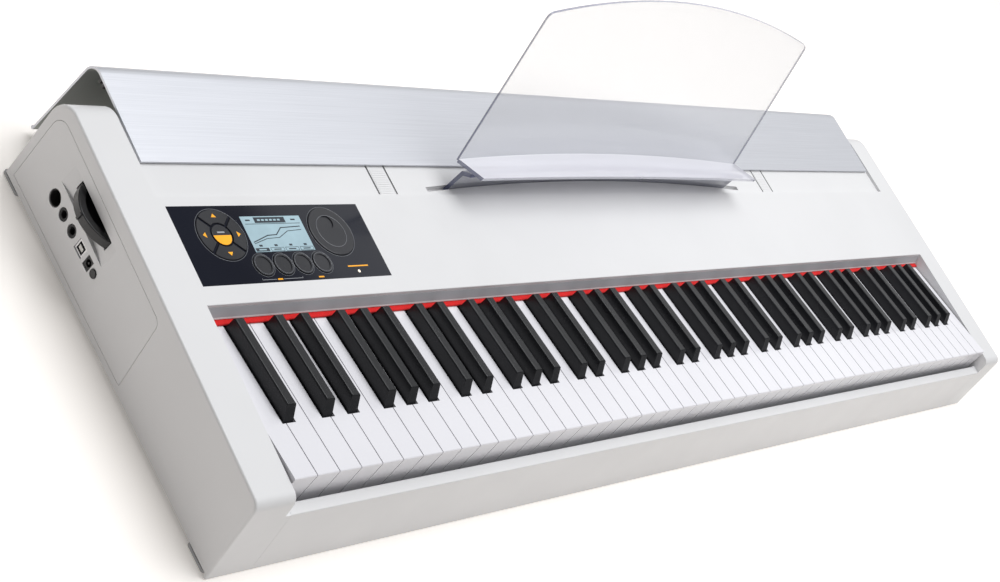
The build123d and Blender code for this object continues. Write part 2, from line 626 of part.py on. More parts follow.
for name, centre in blacks.items():
    shifts = [FIRST_C + octave * OCTAVE for octave in range(-1, 7)]
    centres = [s + centre - KEYS_HALF for s in shifts if 0 < s + centre < WHITE_KEYS * PITCH - PITCH]
    with BuildPart() as black:
        for x in centres:
            with BuildSketch(KEYS.offset(-1.5)):
                with Locations((x, (BLACK_FRONT + BLACK_BACK) / 2)):
                    Rectangle(BLACK_W, BLACK_BACK - BLACK_FRONT)
            with BuildSketch(KEYS.offset(BLACK_H)):
                with Locations((x, (BLACK_FRONT + BLACK_RAKE + BLACK_BACK - 0.5) / 2)):
                    Rectangle(BLACK_TOP_W, BLACK_BACK - 0.5 - BLACK_FRONT - BLACK_RAKE)
            loft()
        crown = black.edges().filter_by(lambda e: KEYS.to_local_coords(e.center()).Z > BLACK_H - 0.1)
        fillet(crown, radius=1.3)
        for x in centres:
            block(KEYS, (x - 4.3, x + 4.3), (BLACK_FRONT + 6, TAIL_END), -KEY_BODY, -1.5)
        for x in centres:
            block(KEYS, (x - 5, x + 5), (BLACK_BACK, TAIL_END + 1), -2.5, 0, Mode.SUBTRACT)
        drill_pivot()
    finish(black, f"key_{name}")

# ---------------------------------------------------------------- key bed
FIN_XS = [FIRST_C + octave * OCTAVE - KEYS_HALF for octave in range(8)]

with BuildPart() as key_bed:
    side_slab(
        [(8, -38), (222, -38), (222, -18.5), (209, -18.5), (209, -20.5), (220, -20.5), (220, -36),
         (22, -36), (22, -27.5), (8, -27.5)],
        -611.0,
        611.0,
        KEY_SIDE,
    )
    for x in FIN_XS:
        side_slab([(202, -37), (221, -37), (221, -5), (202, -5)], x - 0.3, x + 0.3, KEY_SIDE)
    with BuildSketch(pivot_plane.offset(-KEYS_HALF)):
        Circle(PIVOT_R)
    extrude(amount=2 * KEYS_HALF, mode=Mode.SUBTRACT)
finish(key_bed, "key_bed")

with BuildPart() as key_pivot_rod:
    with BuildSketch(pivot_plane.offset(-OPENING_HALF - WALL)):
        Circle(PIVOT_R)
    extrude(amount=2 * (OPENING_HALF + WALL))
finish(key_pivot_rod, "key_pivot_rod")

with BuildPart() as stop_felts:
    side_slab([(9, -27.5), (21, -27.5), (21, -25.1), (9, -25.1)], -610.0, 610.0, KEY_SIDE)
    side_slab([(210, -18.5), (217, -18.5), (217, -15.2), (210, -15.2)], -610.0, 610.0, KEY_SIDE)
    for x in FIN_XS:
        block(KEYS, (x - 0.6, x + 0.6), (205, 220), -19, -15, Mode.SUBTRACT)
finish(stop_felts, "stop_felts")

with BuildPart() as contact_board:
    side_slab([(105, -36), (150, -36), (150, -34.4), (105, -34.4)], -608.0, 608.0, KEY_SIDE)
finish(contact_board, "contact_board")

with BuildPart() as contact_rubber:
    side_slab([(118, -34.4), (138, -34.4), (138, -32.9), (118, -32.9)], -606.0, 606.0, KEY_SIDE)
    with BuildSketch(KEYS.offset(-32.9)):
        with Locations((0, 128)):
            with GridLocations(2 * 606.0 / 88, 10, 88, 1):
                Circle(4.0)
    extrude(amount=12.5)
finish(contact_rubber, "contact_rubber")

# ---------------------------------------------------------------- rear cover
LID_T = 2.0
LID_HALF = 609.5
LID_FRONT = 306.8
LID_BEND = 13.5
LID_RISE = tan(radians(3.9))    # the cover climbs a little steeper than the case
lid_depth = 0.2 + LID_T / 2
leg_foot = (411.2, 10.0)
lid_nose = under_top(LID_FRONT, lid_depth)
lid_corner = (402.6, lid_nose[1] + LID_RISE * (402.6 - LID_FRONT))
lid_path = [lid_nose, lid_corner, leg_foot]

with BuildPart() as lid_cover:
    with BuildSketch(SIDE.offset(-LID_HALF)) as sheet:
        Polygon(*ribbon(lid_path, LID_T), align=None)
        outer = sheet.vertices().filter_by(lambda v: abs(v.X - lid_corner[0]) < 4).sort_by(Axis.Y)[-1:]
        fillet(outer, radius=LID_BEND)
        inner = sheet.vertices().filter_by(lambda v: abs(v.X - lid_corner[0]) < 4 and v.Y < lid_corner[1])
        fillet(inner.filter_by(lambda v: v.Y > 90).sort_by(Axis.X)[:1], radius=LID_BEND - LID_T)
        with Locations((DEPTH - 1.8, 9.6)):
            Circle(1.8)
    extrude(amount=2 * LID_HALF)
finish(lid_cover, "lid_cover")

with BuildPart() as lid_runners:
    for x in GUIDE_XS:
        for side in (-1, 1):
            middle = x + side * GUIDE_SPREAD
            block(TOP, (middle - 0.7, middle + 0.7), (313, 331), -9.0, -2.2)
    for hand in (-1, 1):
        for y in (382.0, 387.0):
            block(TOP, (hand * 605 - 2, hand * 605 + 2), (y, y + 2.4), -7.0, -2.2)
finish(lid_runners, "lid_runners")

# ---------------------------------------------------------------- music stand
CORNER = (307.8, 21.4)          # fold between the plate and the ledge, along and above the top plane
LEDGE_TIP = (276.5, 34.9)
LEDGE_FRONT = 266.4
PLATE_RUN = (48.2, 153.5)
FOLD_HALF, TOP_HALF = 246.0, 234.0
SHOULDER_H, CROWN_H = 175.0, 196.9
FOOT_HALF, FOOT_LOW, KNEE_H = 243.0, -8.5, 18.6

STAND_FACE = Plane(origin=TOP.from_local_coords((STAND_X, 0, 0)), x_dir=(1, 0, 0), z_dir=-TOP.y_dir)

with BuildPart() as music_stand_plate:
    stretch = 1.3
    crest = (CORNER[0] + PLATE_RUN[0] * stretch, CORNER[1] + PLATE_RUN[1] * stretch)
    ledge_run = (LEDGE_TIP[0] - CORNER[0], LEDGE_TIP[1] - CORNER[1])
    heel = (CORNER[0] + ledge_run[0] * 0.02, CORNER[1] + ledge_run[1] * 0.02)
    nose = (CORNER[0] + ledge_run[0] * 1.5, CORNER[1] + ledge_run[1] * 1.5)
    bowed([crest, CORNER], PLATE_T, FOLD_HALF + 16)
    bowed([heel, nose], LEDGE_T, FOLD_HALF + 16)
    with BuildSketch(STAND_FACE) as face:
        with BuildLine():
            ThreePointArc((-TOP_HALF, SHOULDER_H), (0, CROWN_H), (TOP_HALF, SHOULDER_H))
            Polyline((TOP_HALF, SHOULDER_H), (FOLD_HALF, 0), (-FOLD_HALF, 0), (-TOP_HALF, SHOULDER_H))
        make_face()
        fillet(face.vertices().group_by(Axis.Y)[-1], radius=8)
    extrude(amount=-450, mode=Mode.INTERSECT)
    block(TOP, (-400, 400), (200, LEDGE_FRONT), 0, 80, Mode.SUBTRACT)
finish(music_stand_plate, "music_stand_plate")

with BuildPart() as music_stand_foot:
    foot = [(STAND_SLOT_Y, FOOT_LOW), (STAND_SLOT_Y, KNEE_H), (STAND_SLOT_Y - 7.4, KNEE_H + 6.6)]
    bowed(foot, STAND_T, FOOT_HALF)
finish(music_stand_foot, "music_stand_foot")
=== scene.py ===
import json
from math import cos, pi, radians, sin

import bmesh
import bpy
from mathutils import Matrix, Vector


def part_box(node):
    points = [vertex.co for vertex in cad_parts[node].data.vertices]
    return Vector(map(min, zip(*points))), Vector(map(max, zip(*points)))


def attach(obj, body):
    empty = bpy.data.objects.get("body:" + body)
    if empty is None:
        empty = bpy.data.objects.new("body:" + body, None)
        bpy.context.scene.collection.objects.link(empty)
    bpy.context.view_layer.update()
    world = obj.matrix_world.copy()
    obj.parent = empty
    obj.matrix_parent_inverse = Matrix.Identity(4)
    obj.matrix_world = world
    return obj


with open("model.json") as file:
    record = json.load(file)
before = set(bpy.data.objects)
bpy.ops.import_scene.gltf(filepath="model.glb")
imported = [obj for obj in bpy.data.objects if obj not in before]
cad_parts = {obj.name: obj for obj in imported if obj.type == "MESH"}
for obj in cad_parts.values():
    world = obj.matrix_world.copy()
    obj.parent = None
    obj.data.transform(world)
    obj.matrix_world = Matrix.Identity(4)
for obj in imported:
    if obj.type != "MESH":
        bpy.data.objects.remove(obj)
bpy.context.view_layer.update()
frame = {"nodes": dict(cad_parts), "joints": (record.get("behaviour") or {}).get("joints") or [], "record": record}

# Looks of a digital stage piano. Metres; Z is up, the player sits at -Y, the bass end is at -X.

MM = 0.001
JOINTS = {joint["name"]: joint for joint in frame["joints"]}
RIGHT = Vector((1, 0, 0))
PANEL_UP = Vector(JOINTS["dial_turn"]["axis"]).normalized()
PANEL_BACK = PANEL_UP.cross(RIGHT)
FASCIA_TOP = 0.1                # mm that the control panel's glass stands above the case
PAD_TOP, CENTER_TOP, SOFT_TOP, DIAL_TOP, LCD_TOP = 0.9, 0.8, 1.0, 1.2, 0.0
INK, MARK = 0.05, 0.06          # mm that print on the panel and on the buttons stands up


# ---------------------------------------------------------------- camera, light and floor
CAMERA_AT = Vector((-1.4879, -0.5608, 0.9138))
CAMERA_AIM = Vector((-0.2596, -0.0377, 0.0900))
CAMERA_ROLL = radians(46.575)
CAMERA_LENS = 63.03
WORLD_LIGHT = 0.2
FLOOR_COLOR, FLOOR_GLOW_COLOR, FLOOR_GLOW = (0.98, 0.94, 0.90), (1, 0.955, 0.91), 0.22


def add_camera():
    data = bpy.data.cameras.new("camera")
    data.lens = CAMERA_LENS
    data.sensor_width = 36
    data.clip_end = 100
    camera = bpy.data.objects.new("camera", data)
    turn = (CAMERA_AIM - CAMERA_AT).to_track_quat("-Z", "Y").to_matrix().to_4x4()
    camera.matrix_world = Matrix.Translation(CAMERA_AT) @ turn @ Matrix.Rotation(CAMERA_ROLL, 4, "Z")
    bpy.context.scene.collection.objects.link(camera)
    bpy.context.scene.camera = camera


def add_softbox(name, at, aim, size, power, tint=(1, 1, 1)):
    data = bpy.data.lights.new(name, "AREA")
    data.shape = "RECTANGLE"
    data.size, data.size_y = size
    data.energy = power
    data.color = tint
    lamp = bpy.data.objects.new(name, data)
    turn = (Vector(aim) - Vector(at)).to_track_quat("-Z", "Y").to_matrix().to_4x4()
    lamp.matrix_world = Matrix.Translation(Vector(at)) @ turn
    bpy.context.scene.collection.objects.link(lamp)


def add_floor(half_width=30.0):
    mesh = bpy.data.meshes.new("floor")
    corners = [(-half_width, -half_width, 0), (half_width, -half_width, 0),
               (half_width, half_width, 0), (-half_width, half_width, 0)]
    mesh.from_pydata(corners, [], [(0, 1, 2, 3)])
    floor = bpy.data.objects.new("floor", mesh)
    bpy.context.scene.collection.objects.link(floor)
    material, shader = new_material("pale_floor", FLOOR_COLOR, 0.9)
    shader.inputs["Emission Color"].default_value = (*FLOOR_GLOW_COLOR, 1)
    shader.inputs["Emission Strength"].default_value = FLOOR_GLOW
    floor.data.materials.append(material)


def add_light():
    world = bpy.data.worlds.new("studio")
    world.use_nodes = True
    background = world.node_tree.nodes["Background"]
    background.inputs["Color"].default_value = (1, 1, 1, 1)
    background.inputs["Strength"].default_value = WORLD_LIGHT
    bpy.context.scene.world = world
    add_softbox("overhead", (0.35, 0.1, 2.6), (0, 0, 0), (3.0, 2.0), 84, (0.97, 0.985, 1.0))
    add_softbox("far_right", (2.35, 1.5, 1.45), (-0.3, 0, 0.1), (3.2, 1.9), 12)
    bpy.context.scene.view_settings.view_transform = "Standard"


# ---------------------------------------------------------------- materials
def new_material(name, color, roughness, **sockets):
    """Principled material with its constants set on the shader itself."""
    material = bpy.data.materials.new(name)
    material.use_nodes = True
    shader = material.node_tree.nodes["Principled BSDF"]
    shader.inputs["Base Color"].default_value = (*color, 1)
    shader.inputs["Roughness"].default_value = roughness
    for socket, value in sockets.items():
        shader.inputs[socket.replace("_", " ")].default_value = value
    return material, shader


def add_node(material, kind, **values):
    """Shader node with its properties and, where the name isn't a property, its inputs set."""
    node = material.node_tree.nodes.new(kind)
    for key, value in values.items():
        if hasattr(node, key):
            setattr(node, key, value)
        else:
            node.inputs[key.replace("_", " ")].default_value = value
    return node


def link(material, output, target):
    material.node_tree.links.new(output, target)


def noise(material, scale, detail=3.0, stretch=(1, 1, 1)):
    """Noise in object metres, and its height output."""
    coordinates = add_node(material, "ShaderNodeTexCoord")
    mapping = add_node(material, "ShaderNodeMapping", Scale=stretch)
    texture = add_node(material, "ShaderNodeTexNoise", Scale=scale, Detail=detail)
    link(material, coordinates.outputs["Object"], mapping.inputs["Vector"])
    link(material, mapping.outputs["Vector"], texture.inputs["Vector"])
    return texture.outputs["Fac"]


def remap(material, value, low, high, start=0.3, stop=0.7):
    node = add_node(material, "ShaderNodeMapRange", From_Min=start, From_Max=stop, To_Min=low, To_Max=high)
    link(material, value, node.inputs["Value"])
    return node.outputs["Result"]


def color_sockets(sockets):
    return [socket for socket in sockets if socket.type == "RGBA"]


def mix_colors(material, factor, first, second):
    """Colour from first to second as factor goes from 0 to 1; each is a colour or a socket."""
    node = add_node(material, "ShaderNodeMix", data_type="RGBA")
    link(material, factor, node.inputs["Factor"])
    for socket, value in zip(color_sockets(node.inputs), (first, second)):
        if isinstance(value, tuple):
            socket.default_value = (*value, 1)
        else:
            link(material, value, socket)
    return color_sockets(node.outputs)[0]


def bump(material, shader, value, strength, distance):
    node = add_node(material, "ShaderNodeBump", Strength=strength, Distance=distance)
    link(material, value, node.inputs["Height"])
    link(material, node.outputs["Normal"], shader.inputs["Normal"])


def plastic(name, dark, light, roughness, grain=900.0, depth=0.00003, cloud=6.0, **sockets):
    """Moulded or painted surface: faint clouds of colour, uneven gloss and a fine grain."""
    material, shader = new_material(name, light, roughness, **sockets)
    clouds = remap(material, noise(material, cloud), 0, 1)
    link(material, mix_colors(material, clouds, dark, light), shader.inputs["Base Color"])
    gloss = remap(material, noise(material, cloud * 5), roughness * 0.85, roughness * 1.15)
    link(material, gloss, shader.inputs["Roughness"])
    bump(material, shader, noise(material, grain), 0.25, depth)
    return material


def facing(material, direction, start, stop):
    """0 to 1 as the surface turns from start to stop, measured along a fixed direction."""
    geometry = add_node(material, "ShaderNodeNewGeometry")
    dot = add_node(material, "ShaderNodeVectorMath", operation="DOT_PRODUCT")
    dot.inputs[1].default_value = direction
    link(material, geometry.outputs["Normal"], dot.inputs[0])
    return remap(material, dot.outputs["Value"], 0, 1, start, stop)


def combine(material, operation, first, second):
    node = add_node(material, "ShaderNodeMath", operation=operation)
    for socket, value in zip(node.inputs, (first, second)):
        if isinstance(value, (int, float)):
            socket.default_value = value
        else:
            link(material, value, socket)
    return node.outputs["Value"]


LID_DARK, LID_LIGHT = (0.60, 0.61, 0.65), (0.66, 0.67, 0.71)
LID_INNER = (0.60, 0.63, 0.61)
BRUSH_FINE, BRUSH_COARSE = (9, 1500, 1500), (2, 260, 260)
BRUSH_SHARE = 0.85              # share of the fine streaks in the brushing


def brushed_metal(name):
    """Anodised sheet, brushed along X, with a duller inner side."""
    material, shader = new_material(name, LID_LIGHT, 0.42, Metallic=0.6)
    fine = combine(material, "MULTIPLY", noise(material, 1.0, 4.0, BRUSH_FINE), BRUSH_SHARE)
    coarse = combine(material, "MULTIPLY", noise(material, 1.0, 2.0, BRUSH_COARSE), 1 - BRUSH_SHARE)
    brushing = combine(material, "ADD", fine, coarse)
    outer = mix_colors(material, remap(material, brushing, 0, 1, 0.36, 0.64), LID_DARK, LID_LIGHT)
    place = add_node(material, "ShaderNodeNewGeometry")
    parts = add_node(material, "ShaderNodeSeparateXYZ")
    link(material, place.outputs["Position"], parts.inputs["Vector"])
    front_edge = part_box("lid_cover")[0].y + 1 * MM
    behind = combine(material, "GREATER_THAN", parts.outputs["Y"], front_edge)
    inner = combine(material, "MULTIPLY", facing(material, (0, 0.7, 0.7), -0.2, -0.4), behind)
    link(material, mix_colors(material, inner, outer, LID_INNER), shader.inputs["Base Color"])
    link(material, remap(material, brushing, 0.40, 0.48), shader.inputs["Roughness"])
    bump(material, shader, brushing, 0.06, 0.00002)
    return material


EDGE_COLOR = (0.13, 0.14, 0.24)


def clear_plastic(name, edge_alpha, sides):
    """Clear sheet with deep blue-violet cut edges; sides lists each flat face's normal, alpha and colour."""
    material, shader = new_material(name, (0.9, 0.92, 0.97), 0.08, IOR=1.49)
    tint, alpha = EDGE_COLOR, edge_alpha
    for normal, face_alpha, face_color in sides:
        mask = combine(material, "MAXIMUM", facing(material, normal, 0.90, 0.97),
                       facing(material, [-c for c in normal], 0.90, 0.97))
        tint = mix_colors(material, mask, tint, face_color)
        alpha = combine(material, "MINIMUM", alpha, remap(material, mask, edge_alpha, face_alpha, 0, 1))
    link(material, tint, shader.inputs["Base Color"])
    link(material, alpha, shader.inputs["Alpha"])
    bump(material, shader, noise(material, 40.0), 0.05, 0.0002)
    return material


def felt(name, dark, light):
    material, shader = new_material(name, light, 0.95, Sheen_Weight=0.1, Sheen_Roughness=0.5)
    fibres = noise(material, 1800.0, 5.0, (0.5, 1, 1))
    tone = mix_colors(material, remap(material, fibres, 0, 1), dark, light)
    link(material, tone, shader.inputs["Base Color"])
    bump(material, shader, fibres, 0.7, 0.0003)
    return material


def glowing(name, color, strength):
    """Glowing surface, a little uneven: the lit display and lamp, and orange print given a painted glow."""
    material, shader = new_material(name, color, 0.2)
    dim = tuple(channel * 0.88 for channel in color)
    tone = mix_colors(material, remap(material, noise(material, 60.0), 0, 1), dim, color)
    link(material, tone, shader.inputs["Base Color"])
    link(material, tone, shader.inputs["Emission Color"])
    shader.inputs["Emission Strength"].default_value = strength
    return material


def steel(name, color=(0.6, 0.61, 0.63), roughness=0.3):
    material, shader = new_material(name, color, roughness, Metallic=1.0)
    scratches = noise(material, 1.0, 3.0, (300, 2500, 2500))
    link(material, remap(material, scratches, roughness * 0.8, roughness * 1.3), shader.inputs["Roughness"])
    tone = mix_colors(material, remap(material, scratches, 0, 1), tuple(c * 0.85 for c in color), color)
    link(material, tone, shader.inputs["Base Color"])
    return material


WHITE_SHELL = plastic("white_shell", (0.705, 0.70, 0.705), (0.735, 0.73, 0.735), 0.46, Coat_Weight=0.05)
IVORY = plastic("ivory_white", (0.76, 0.75, 0.785), (0.80, 0.79, 0.825), 0.2, grain=300, depth=0.00001)
EBONY = plastic("ebony_black", (0.008, 0.0085, 0.01), (0.014, 0.0145, 0.017), 0.3, grain=2600, depth=0.00002,
                Specular_IOR_Level=0.32)
GLASS_BLACK = plastic("gloss_black", (0.002, 0.003, 0.010), (0.004, 0.006, 0.015), 0.09, depth=0.000004)
BUTTON_BLACK = plastic("button_black", (0.014, 0.015, 0.018), (0.03, 0.031, 0.036), 0.22, grain=2200)
SOCKET_BLACK = plastic("socket_black", (0.012, 0.012, 0.012), (0.03, 0.03, 0.03), 0.45)
BASE_PLASTIC = plastic("base_plastic", (0.02, 0.02, 0.022), (0.035, 0.035, 0.038), 0.6, grain=1400)
DARK_BACK = plastic("dark_back", (0.02, 0.026, 0.024), (0.04, 0.046, 0.044), 0.55)
GLOSS_GREY = plastic("gloss_grey", (0.40, 0.40, 0.42), (0.46, 0.46, 0.48), 0.12, depth=0.00001)
RUBBER = plastic("foot_rubber", (0.42, 0.42, 0.43), (0.48, 0.48, 0.49), 0.85, grain=1600, depth=0.0001)
SILICONE = plastic("contact_rubber", (0.5, 0.5, 0.48), (0.6, 0.6, 0.58), 0.6)
BOARD = plastic("circuit_board", (0.006, 0.06, 0.02), (0.012, 0.11, 0.04), 0.35, cloud=200)
WHEEL_BLACK = plastic("wheel_black", (0.012, 0.012, 0.013), (0.022, 0.022, 0.024), 0.24, grain=1800)
TONGUE = plastic("socket_tongue", (0.68, 0.67, 0.64), (0.74, 0.73, 0.70), 0.4)
RUNNER = plastic("runner_plastic", (0.03, 0.03, 0.03), (0.05, 0.05, 0.05), 0.5)
# painted glow: the orange print is no lamp, but it is given emission so it shines
ORANGE_PAINTED_GLOW = glowing("orange_print_painted_glow", (0.95, 0.42, 0.02), 0.25)
SILVER_PRINT = plastic("silver_print", (0.33, 0.34, 0.36), (0.42, 0.43, 0.45), 0.3)
RIM = plastic("smoked_rim", (0.09, 0.095, 0.11), (0.14, 0.145, 0.16), 0.14)
DISPLAY = glowing("display", (0.36, 0.50, 0.56), 0.15)
DISPLAY_INK = plastic("display_ink", (0.01, 0.02, 0.03), (0.02, 0.03, 0.045), 0.3)
LAMP = glowing("lamp", (0.95, 0.85, 0.7), 0.5)
RED_FELT = felt("red_felt", (0.5, 0.003, 0.003), (0.82, 0.010, 0.010))
GREY_FELT = felt("grey_felt", (0.2, 0.2, 0.2), (0.3, 0.3, 0.3))
STEEL = steel("steel")
BED_METAL = steel("bed_metal", (0.55, 0.56, 0.57), 0.45)
PLATED = steel("socket_metal", (0.75, 0.75, 0.76), 0.25)
ALUMINIUM = brushed_metal("brushed_aluminium")

STAND_LEAN = radians(17.4)
LEDGE_RISE = radians(23.3)
PLATE_NORMAL = PANEL_BACK * cos(STAND_LEAN) - PANEL_UP * sin(STAND_LEAN)
LEDGE_NORMAL = PANEL_UP * cos(LEDGE_RISE) + PANEL_BACK * sin(LEDGE_RISE)
PLATE_TINT = (0.84, 0.85, 0.89)
# painted light: the upward ledge face of the clear stand is tinted lighter and more opaque than the plate, as
# where light falls and reflects
LEDGE_LIT_TINT = (0.95, 0.94, 1.0)
# painted shade: a darker tint of the same clear acrylic for the stand's foot down in its slot and the webs under
# the ledge
SHADED_FOOT_TINT = (0.62, 0.63, 0.70)
# the ledge's higher alpha and lighter tint are painted light on the same clear sheet
STAND_SIDES = ((PLATE_NORMAL, 0.3, PLATE_TINT), (LEDGE_NORMAL, 0.55, LEDGE_LIT_TINT))
STAND_CLEAR = clear_plastic("clear_acrylic", 0.72, STAND_SIDES)
SHADED_CLEAR = clear_plastic("acrylic_painted_shade", 0.8, ((PANEL_BACK, 0.55, SHADED_FOOT_TINT),))

LOOKS = {
    "white_shell": WHITE_SHELL, "base_plastic": BASE_PLASTIC, "foot_rubber": RUBBER, "steel": STEEL,
    "gloss_grey": GLOSS_GREY, "red_felt": RED_FELT, "grey_felt": GREY_FELT, "dark_back": DARK_BACK,
    "gloss_black": GLASS_BLACK, "display": DISPLAY, "lamp": LAMP, "circuit_board": BOARD,
    "contact_rubber": SILICONE, "socket_black": SOCKET_BLACK, "socket_metal": PLATED,
    "wheel_black": WHEEL_BLACK, "bed_metal": BED_METAL, "ivory_white": IVORY, "ebony_black": EBONY,
    "brushed_aluminium": ALUMINIUM, "runner_plastic": RUNNER, "clear_acrylic": STAND_CLEAR,
}
BUTTON_NODES = ["dial", "center_button", "nav_up_button", "nav_left_button", "nav_down_button",
                "nav_right_button", "soft_button_1", "soft_button_2", "soft_button_3", "soft_button_4"]


def dress_cad():
    """Give every CAD node the material of its slot."""
    for part in frame["record"]["subparts"]:
        frame["nodes"][part["node"]].data.materials.clear()
        frame["nodes"][part["node"]].data.materials.append(LOOKS[part["material_slot"]])
    for name in BUTTON_NODES:
        frame["nodes"][name].data.materials[0] = BUTTON_BLACK
    # the foot in its slot gets the copy of the acrylic with painted shade
    frame["nodes"]["music_stand_foot"].data.materials[0] = SHADED_CLEAR


# ---------------------------------------------------------------- mesh helpers
def add_piece(name, mesh, material, body):
    mesh.materials.append(material)
    piece = bpy.data.objects.new(name, mesh)
    bpy.context.scene.collection.objects.link(piece)
    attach(piece, body)
    return piece


def panel_turn():
    """Rotation of the control panel: x to the right, y to the back, z out of the case top."""
    return Matrix((RIGHT, PANEL_BACK, PANEL_UP)).transposed().to_4x4()


def panel_matrix(joint, height=0.0, right=0.0, back=0.0):
    """Frame on the control panel at a joint, x to the right and y to the back; offsets in mm."""
    origin = Vector(JOINTS[joint]["pos_m"]) + MM * (RIGHT * right + PANEL_BACK * back + PANEL_UP * height)
    return Matrix.Translation(origin) @ panel_turn()


def prism(outlines, bottom, top, place):
    """Solid plates with flat outlines in mm, from bottom to top in mm, placed by a matrix."""
    work = bmesh.new()
    for outline in outlines:
        low = [work.verts.new(place @ (MM * Vector((x, y, bottom)))) for x, y in outline]
        high = [work.verts.new(place @ (MM * Vector((x, y, top)))) for x, y in outline]
        work.faces.new(low[::-1])
        work.faces.new(high)
        for i in range(len(outline)):
            j = (i + 1) % len(outline)
            work.faces.new((low[i], low[j], high[j], high[i]))
    bmesh.ops.recalc_face_normals(work, faces=work.faces)
    mesh = bpy.data.meshes.new("prism")
    work.to_mesh(mesh)
    work.free()
    return mesh


def rectangle(x, y, width, depth):
    return [(x - width / 2, y - depth / 2), (x + width / 2, y - depth / 2),
            (x + width / 2, y + depth / 2), (x - width / 2, y + depth / 2)]


def polygon(radius, sides):
    return [(radius * cos(2 * pi * i / sides), radius * sin(2 * pi * i / sides)) for i in range(sides)]


def ring(radius, width, height, place, sides=96):
    """Round bead with a domed section, standing on the plane of place."""
    work = bmesh.new()
    section = [(width / 2 * cos(a * pi / 4), height * sin(a * pi / 4)) for a in range(5)]
    loops = []
    for i in range(sides):
        outward = Vector((cos(2 * pi * i / sides), sin(2 * pi * i / sides), 0))
        points = [outward * (radius + r) + Vector((0, 0, z)) for r, z in section]
        loops.append([work.verts.new(place @ (MM * point)) for point in points])
    for i in range(sides):
        here, there = loops[i], loops[(i + 1) % sides]
        for k in range(len(section)):
            n = (k + 1) % len(section)
            work.faces.new((here[k], there[k], there[n], here[n]))
    bmesh.ops.recalc_face_normals(work, faces=work.faces)
    mesh = bpy.data.meshes.new("ring")
    work.to_mesh(mesh)
    work.free()
    for face in mesh.polygons:
        face.use_smooth = True
    return mesh


def stroke(points, width):
    """Outlines of a polyline of the given width, one quadrilateral for each run."""
    outlines = []
    for (x0, y0), (x1, y1) in zip(points, points[1:]):
        along = Vector((x1 - x0, y1 - y0)).normalized() * width / 2
        across = Vector((-along.y, along.x))
        outlines.append([(x0 - along.x - across.x, y0 - along.y - across.y),
                         (x1 + along.x - across.x, y1 + along.y - across.y),
                         (x1 + along.x + across.x, y1 + along.y + across.y),
                         (x0 - along.x + across.x, y0 - along.y + across.y)])
    return outlines


# ---------------------------------------------------------------- control panel
LCD_RIGHT = 60.8                # middle of the display from the middle of the pad, mm
TITLE_Y, VALUE_Y, LABEL_Y = 13.2, -11.0, -14.8
BOX_XS, BOX_HALF = (-24.6, -8.2, 8.2, 24.6), (7.2, 1.6)
TITLE_LETTERS, LETTER_PITCH, LETTER_FIRST = 6, 4.4, -14.0


def lcd_graphics():
    """Generic screen: a title bar, two velocity curves under a line, and a row of value boxes."""
    place = panel_matrix("center_button_press", LCD_TOP, LCD_RIGHT)
    ink = [rectangle(-2, TITLE_Y, 34, 5.4)]
    ink += [rectangle(x, TITLE_Y, 5.0, 1.4) for x in (-26, 24)]
    ink += stroke([(-30, 9.6), (30, 9.6)], 0.5)
    ink += stroke([(-30, -7.5), (-12, -1.5), (-2, -1.0), (6, 5.5), (28, 6.5)], 0.9)
    ink += stroke([(-30, -9.0), (-14, -4.5), (0, -3.8), (12, 2.2), (28, 3.2)], 0.6)
    ink += [rectangle(x, VALUE_Y, 3.4, 1.8) for x in BOX_XS]
    ink.append(rectangle(BOX_XS[0], LABEL_Y, 14.6, 3.2))
    across, up = BOX_HALF
    for x in BOX_XS[1:]:
        left, right, low, high = x - across, x + across, LABEL_Y - up, LABEL_Y + up
        ink += stroke([(left, low), (right, low), (right, high), (left, high), (left, low)], 0.4)
        ink.append(rectangle(x, LABEL_Y, 8, 1.0))
    add_piece("lcd_graphics", prism(ink, 0.0, INK, place), DISPLAY_INK, "case")
    letters = [rectangle(LETTER_FIRST + LETTER_PITCH * i, TITLE_Y, 3.0, 1.6) for i in range(TITLE_LETTERS)]
    letters.append(rectangle(BOX_XS[0], LABEL_Y, 8, 1.2))
    add_piece("lcd_reversed", prism(letters, INK, 2 * INK, place), DISPLAY, "case")


ARROW = [(-2.6, 16.2), (2.6, 16.2), (0, 19.6)]
HALF_DISC_R, HALF_DISC_STEPS = 9.0, 24


def pad_marks():
    """Orange arrow on each segment of the pad, and a bar over an orange half disc on its centre."""
    for name, angle in (("nav_up_button", 0), ("nav_left_button", 90), ("nav_down_button", 180),
                        ("nav_right_button", 270)):
        place = panel_matrix("center_button_press", PAD_TOP) @ Matrix.Rotation(radians(angle), 4, "Z")
        add_piece(name + "_mark", prism([ARROW], 0, MARK, place), ORANGE_PAINTED_GLOW, name)
    place = panel_matrix("center_button_press", CENTER_TOP)
    bar = prism([rectangle(0, 2.2, 7.5, 1.3)], 0, MARK, place)
    add_piece("center_button_mark_1", bar, SILVER_PRINT, "center_button")
    angles = [pi + pi * i / HALF_DISC_STEPS for i in range(HALF_DISC_STEPS + 1)]
    half = prism([[(HALF_DISC_R * cos(a), HALF_DISC_R * sin(a) - 0.6) for a in angles]], 0, MARK, place)
    add_piece("center_button_mark_2", half, ORANGE_PAINTED_GLOW, "center_button")


def rims():
    """Fine smoked rims: round the pad, the dial and its inner circle, and each soft button."""
    pad = panel_matrix("center_button_press", FASCIA_TOP)
    add_piece("pad_rim", ring(24.4, 0.7, 0.3, pad), RIM, "case")
    add_piece("dial_rim", ring(24.4, 0.7, 0.3, panel_matrix("dial_turn", FASCIA_TOP)), RIM, "case")
    add_piece("dial_circle", ring(15.5, 0.8, 0.25, panel_matrix("dial_turn", DIAL_TOP)), RIM, "dial")
    for i in range(1, 5):
        joint = f"soft_button_{i}_press"
        add_piece(f"soft_button_{i}_collar", ring(10.9, 0.6, 0.35, panel_matrix(joint, FASCIA_TOP)),
                  RIM, "case")
        add_piece(f"soft_button_{i}_bead", ring(9.0, 0.7, 0.3, panel_matrix(joint, SOFT_TOP)), RIM,
                  f"soft_button_{i}")


